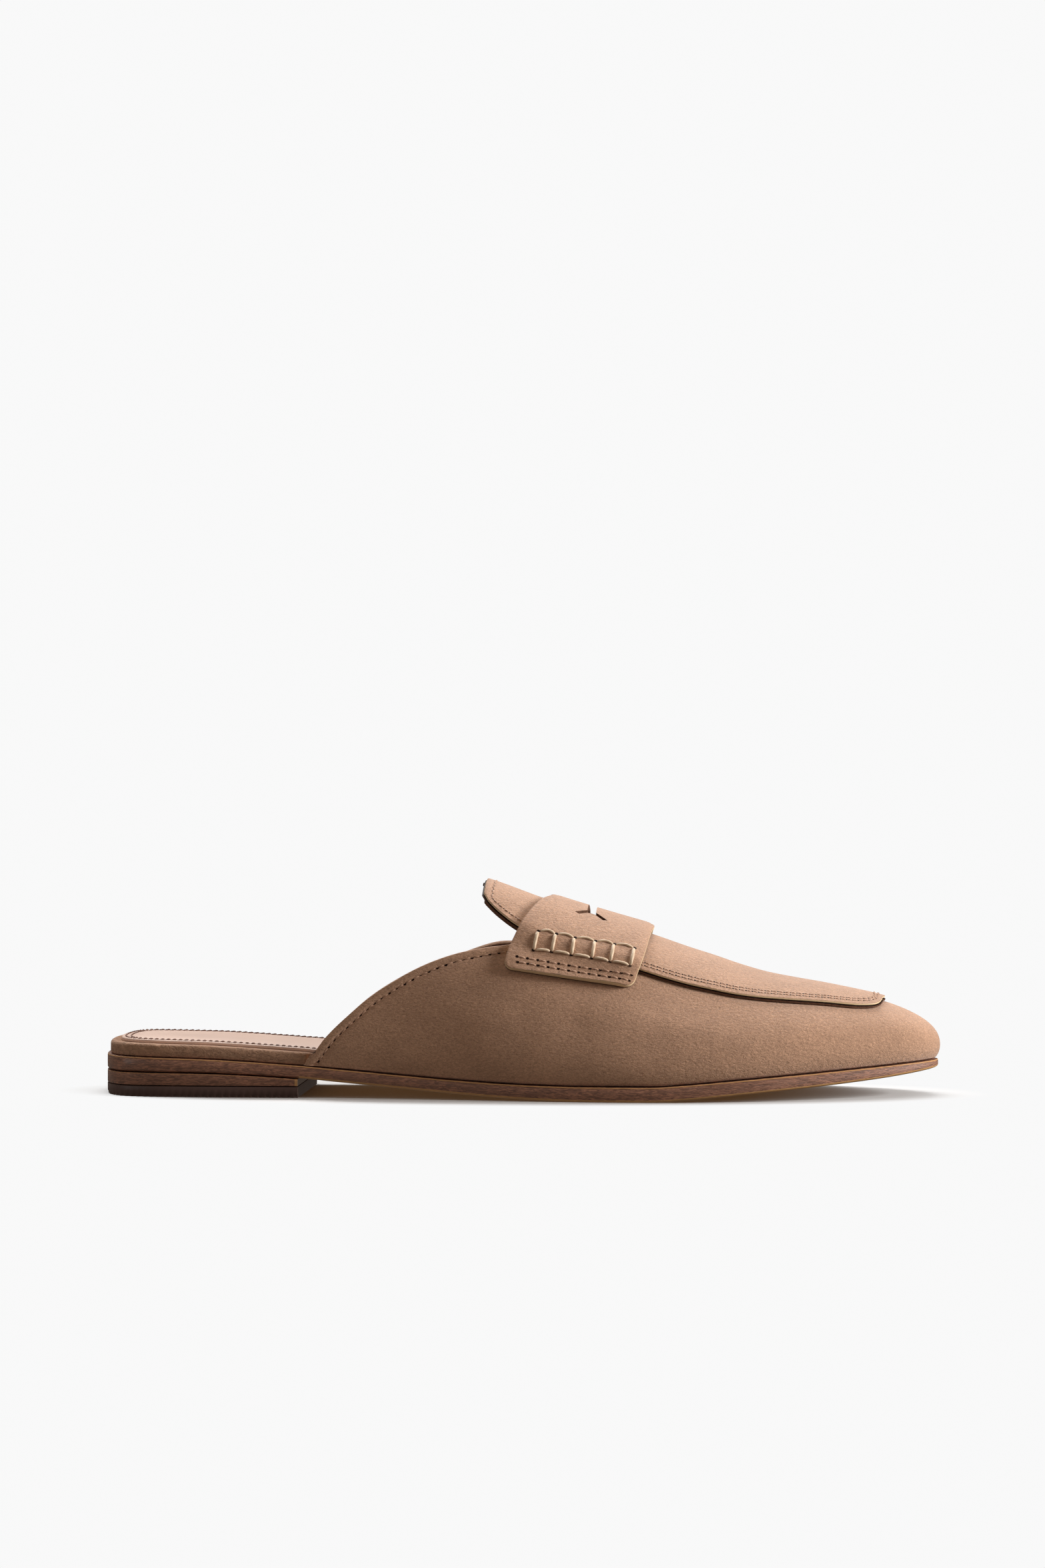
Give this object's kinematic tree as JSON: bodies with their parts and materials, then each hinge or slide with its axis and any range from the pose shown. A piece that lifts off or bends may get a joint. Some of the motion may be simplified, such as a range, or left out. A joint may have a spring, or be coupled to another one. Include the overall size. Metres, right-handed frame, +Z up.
{
  "type": "loafer mule",
  "caption": "Flat penny-loafer mule in tan suede, right shoe, with raised apron and tongue, slotted saddle strap with laddered cord, open heel and low stacked heel.",
  "frame": {"origin": "On the floor, under the middle of the shoe's bounding box", "axes": "X from heel to toe, Y to the inner side of the foot, Z up"},
  "size_m": [0.2618, 0.0836, 0.0672],
  "materials": {
    "suede": "napped suede, matt, with a fine grain",
    "sole_edge": "stained and burnished edge, half gloss",
    "top_lift": "dark rubber, satin",
    "insole_leather": "smooth lining leather, half gloss",
    "lining": "dark lining leather, matt"
  },
  "bodies": {
    "root": {"outsole": "sole_edge", "heel_stack": "sole_edge", "top_lift": "top_lift", "footbed": "suede", "insole": "insole_leather", "upper": "suede", "apron": "suede", "tongue_lining": "lining", "saddle_strap": "suede"}
  },
  "joints": []
}
